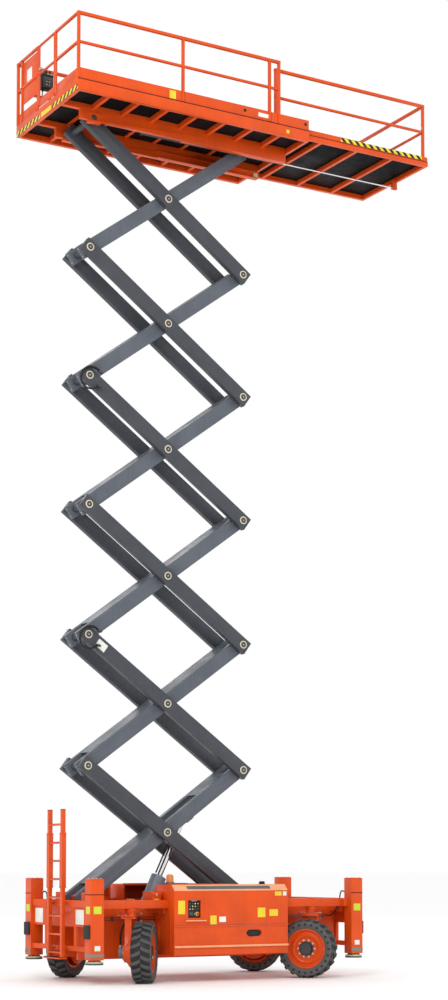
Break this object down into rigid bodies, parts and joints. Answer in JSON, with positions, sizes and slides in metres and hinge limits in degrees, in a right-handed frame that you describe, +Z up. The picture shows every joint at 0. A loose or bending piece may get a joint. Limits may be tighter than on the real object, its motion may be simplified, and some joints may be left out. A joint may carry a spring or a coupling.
{
  "type": "scissor lift",
  "caption": "Rough-terrain scissor lift: wheeled chassis with corner jacks, crossed arm stack, railed platform with a roll-out extension.",
  "frame": {"origin": "on the ground under the middle of the machine's bounding box, as it stands with the stack raised and the extension out", "axes": "+Z up, +X from the ladder end to the extension end, -Y the side with the ground controls"},
  "size_m": [7.21, 3.1068, 15.9215],
  "materials": {
    "orange_paint": "gloss",
    "slate_paint": "satin",
    "blue_grey_paint": "satin",
    "black_panel": "matt",
    "grey_iron": "rough",
    "amber_lens": "gloss",
    "chrome_rod": "mirror",
    "tyre_rubber": "matt"
  },
  "bodies": {
    "chassis": {"chassis_frame": "orange_paint", "near_side_cover": "orange_paint", "far_side_cover": "orange_paint", "control_panel": "black_panel", "engine": "grey_iron", "beacon": "amber_lens", "valve_cover": "orange_paint", "battery_box": "orange_paint", "ladder": "orange_paint"},
    "inner_1": {"inner_arms_1": "slate_paint"},
    "outer_1": {"outer_arms_1": "slate_paint"},
    "inner_2": {"inner_arms_2": "slate_paint"},
    "outer_2": {"outer_arms_2": "slate_paint"},
    "inner_3": {"inner_arms_3": "slate_paint"},
    "outer_3": {"outer_arms_3": "slate_paint"},
    "inner_4": {"inner_arms_4": "slate_paint"},
    "outer_4": {"outer_arms_4": "slate_paint"},
    "inner_5": {"inner_arms_5": "slate_paint"},
    "outer_5": {"outer_arms_5": "slate_paint"},
    "inner_6": {"inner_arms_6": "slate_paint"},
    "outer_6": {"outer_arms_6": "slate_paint"},
    "platform": {"platform_frame": "orange_paint", "platform_subframe": "orange_paint", "platform_deck": "black_panel", "near_guardrail": "orange_paint", "far_guardrail": "orange_paint", "platform_control_box": "black_panel", "extension_cylinder_barrel": "black_panel"},
    "ram_barrel": {"lift_cylinder_barrel": "blue_grey_paint"},
    "ram_rod": {"lift_cylinder_rod": "chrome_rod"},
    "extension": {"extension_frame": "orange_paint", "extension_deck": "black_panel", "extension_guardrail": "orange_paint", "extension_cylinder_rod": "chrome_rod"},
    "gate": {"entry_gate": "orange_paint"},
    "jack_near_left": {"jack_leg_near_left": "slate_paint"},
    "knuckle_near_left": {"knuckle_near_left": "orange_paint"},
    "wheel_near_left": {"tyre_near_left": "tyre_rubber", "rim_near_left": "orange_paint"},
    "jack_far_left": {"jack_leg_far_left": "slate_paint"},
    "knuckle_far_left": {"knuckle_far_left": "orange_paint"},
    "wheel_far_left": {"tyre_far_left": "tyre_rubber", "rim_far_left": "orange_paint"},
    "jack_near_right": {"jack_leg_near_right": "slate_paint"},
    "knuckle_near_right": {"knuckle_near_right": "orange_paint"},
    "wheel_near_right": {"tyre_near_right": "tyre_rubber", "rim_near_right": "orange_paint"},
    "jack_far_right": {"jack_leg_far_right": "slate_paint"},
    "knuckle_far_right": {"knuckle_far_right": "orange_paint"},
    "wheel_far_right": {"tyre_far_right": "tyre_rubber", "rim_far_right": "orange_paint"}
  },
  "joints": [
    {"name": "scissor_lift", "type": "hinge", "parent": "chassis", "child": "inner_1", "pos_m": [-2.961, 0, 1.385], "axis": [0, -1, 0], "range_deg": [-29.8, 23.9]},
    {"name": "centre_pin_1", "type": "hinge", "parent": "inner_1", "child": "outer_1", "pos_m": [-1.46218, 0, 2.47796], "axis": [0, -1, 0], "range_deg": [-47.85, 59.65]},
    {"name": "left_pin_2", "type": "hinge", "parent": "outer_1", "child": "inner_2", "pos_m": [-2.961, 0, 3.57092], "axis": [0, -1, 0], "range_deg": [-59.65, 47.85]},
    {"name": "centre_pin_2", "type": "hinge", "parent": "inner_2", "child": "outer_2", "pos_m": [-1.46218, 0, 4.66388], "axis": [0, -1, 0], "range_deg": [-47.85, 59.65]},
    {"name": "left_pin_3", "type": "hinge", "parent": "outer_2", "child": "inner_3", "pos_m": [-2.961, 0, 5.75684], "axis": [0, -1, 0], "range_deg": [-59.65, 47.85]},
    {"name": "centre_pin_3", "type": "hinge", "parent": "inner_3", "child": "outer_3", "pos_m": [-1.46218, 0, 6.8498], "axis": [0, -1, 0], "range_deg": [-47.85, 59.65]},
    {"name": "left_pin_4", "type": "hinge", "parent": "outer_3", "child": "inner_4", "pos_m": [-2.961, 0, 7.94276], "axis": [0, -1, 0], "range_deg": [-59.65, 47.85]},
    {"name": "centre_pin_4", "type": "hinge", "parent": "inner_4", "child": "outer_4", "pos_m": [-1.46218, 0, 9.03571], "axis": [0, -1, 0], "range_deg": [-47.85, 59.65]},
    {"name": "left_pin_5", "type": "hinge", "parent": "outer_4", "child": "inner_5", "pos_m": [-2.961, 0, 10.12867], "axis": [0, -1, 0], "range_deg": [-59.65, 47.85]},
    {"name": "centre_pin_5", "type": "hinge", "parent": "inner_5", "child": "outer_5", "pos_m": [-1.46218, 0, 11.22163], "axis": [0, -1, 0], "range_deg": [-47.85, 59.65]},
    {"name": "left_pin_6", "type": "hinge", "parent": "outer_5", "child": "inner_6", "pos_m": [-2.961, 0, 12.31459], "axis": [0, -1, 0], "range_deg": [-59.65, 47.85]},
    {"name": "centre_pin_6", "type": "hinge", "parent": "inner_6", "child": "outer_6", "pos_m": [-1.46218, 0, 13.40755], "axis": [0, -1, 0], "range_deg": [-47.85, 59.65]},
    {"name": "platform_level", "type": "hinge", "parent": "outer_6", "child": "platform", "pos_m": [-2.961, 0, 14.50051], "axis": [0, -1, 0], "range_deg": [-29.85, 23.95]},
    {"name": "ram_swing", "type": "hinge", "parent": "chassis", "child": "ram_barrel", "pos_m": [-2.027, 0, 0.45], "axis": [0, -1, 0], "range_deg": [-26.27, 21.08]},
    {"name": "ram_extend", "type": "slide", "parent": "ram_barrel", "child": "ram_rod", "axis": [0.4288, 0, 0.9034], "range_m": [-0.6407, 0.5141]},
    {"name": "extension_slide", "type": "slide", "parent": "platform", "child": "extension", "axis": [1, 0, 0], "range_m": [-2.55, 0]},
    {"name": "gate_swing", "type": "hinge", "parent": "platform", "child": "gate", "pos_m": [-3.594, -0.3007, 15.30051], "axis": [0, 0, -1], "range_deg": [0, 90]},
    {"name": "jack_near_left_down", "type": "slide", "parent": "chassis", "child": "jack_near_left", "axis": [0, 0, -1], "range_m": [0, 0.32]},
    {"name": "steer_near_left", "type": "hinge", "parent": "chassis", "child": "knuckle_near_left", "pos_m": [-2.46, -0.95, 1], "axis": [0, 0, 1], "range_deg": [-109, 1]},
    {"name": "roll_near_left", "type": "hinge", "parent": "knuckle_near_left", "child": "wheel_near_left", "pos_m": [-2.27393, -1.08519, 0.5], "axis": [0.809, -0.5878, 0], "continuous": true},
    {"name": "jack_far_left_down", "type": "slide", "parent": "chassis", "child": "jack_far_left", "axis": [0, 0, -1], "range_m": [0, 0.32]},
    {"name": "steer_far_left", "type": "hinge", "parent": "chassis", "child": "knuckle_far_left", "pos_m": [-2.46, 0.95, 1], "axis": [0, 0, 1], "range_deg": [-91, 19]},
    {"name": "roll_far_left", "type": "hinge", "parent": "knuckle_far_left", "child": "wheel_far_left", "pos_m": [-2.59519, 1.13607, 0.5], "axis": [-0.5878, 0.809, 0], "continuous": true},
    {"name": "jack_near_right_down", "type": "slide", "parent": "chassis", "child": "jack_near_right", "axis": [0, 0, -1], "range_m": [0, 0.32]},
    {"name": "steer_near_right", "type": "hinge", "parent": "chassis", "child": "knuckle_near_right", "pos_m": [1.05, -0.95, 1], "axis": [0, 0, 1], "range_deg": [-8, 102]},
    {"name": "roll_near_right", "type": "hinge", "parent": "knuckle_near_right", "child": "wheel_near_right", "pos_m": [0.88179, -1.10686, 0.5], "axis": [-0.7314, -0.682, 0], "continuous": true},
    {"name": "jack_far_right_down", "type": "slide", "parent": "chassis", "child": "jack_far_right", "axis": [0, 0, -1], "range_m": [0, 0.32]},
    {"name": "steer_far_right", "type": "hinge", "parent": "chassis", "child": "knuckle_far_right", "pos_m": [1.05, 0.95, 1], "axis": [0, 0, 1], "range_deg": [-19, 91]},
    {"name": "roll_far_right", "type": "hinge", "parent": "knuckle_far_right", "child": "wheel_far_right", "pos_m": [1.18519, 1.13607, 0.5], "axis": [0.5878, 0.809, 0], "continuous": true}
  ],
  "couplings": [
    {"joint": "centre_pin_1", "follows": "scissor_lift", "ratio": -2},
    {"joint": "left_pin_2", "follows": "scissor_lift", "ratio": 2},
    {"joint": "centre_pin_2", "follows": "scissor_lift", "ratio": -2},
    {"joint": "left_pin_3", "follows": "scissor_lift", "ratio": 2},
    {"joint": "centre_pin_3", "follows": "scissor_lift", "ratio": -2},
    {"joint": "left_pin_4", "follows": "scissor_lift", "ratio": 2},
    {"joint": "centre_pin_4", "follows": "scissor_lift", "ratio": -2},
    {"joint": "left_pin_5", "follows": "scissor_lift", "ratio": 2},
    {"joint": "centre_pin_5", "follows": "scissor_lift", "ratio": -2},
    {"joint": "left_pin_6", "follows": "scissor_lift", "ratio": 2},
    {"joint": "centre_pin_6", "follows": "scissor_lift", "ratio": -2},
    {"joint": "platform_level", "follows": "scissor_lift", "ratio": 1},
    {"joint": "ram_swing", "follows": "scissor_lift", "ratio": 0.88},
    {"joint": "ram_extend", "follows": "scissor_lift", "m_per_rad": 1.23}
  ]
}
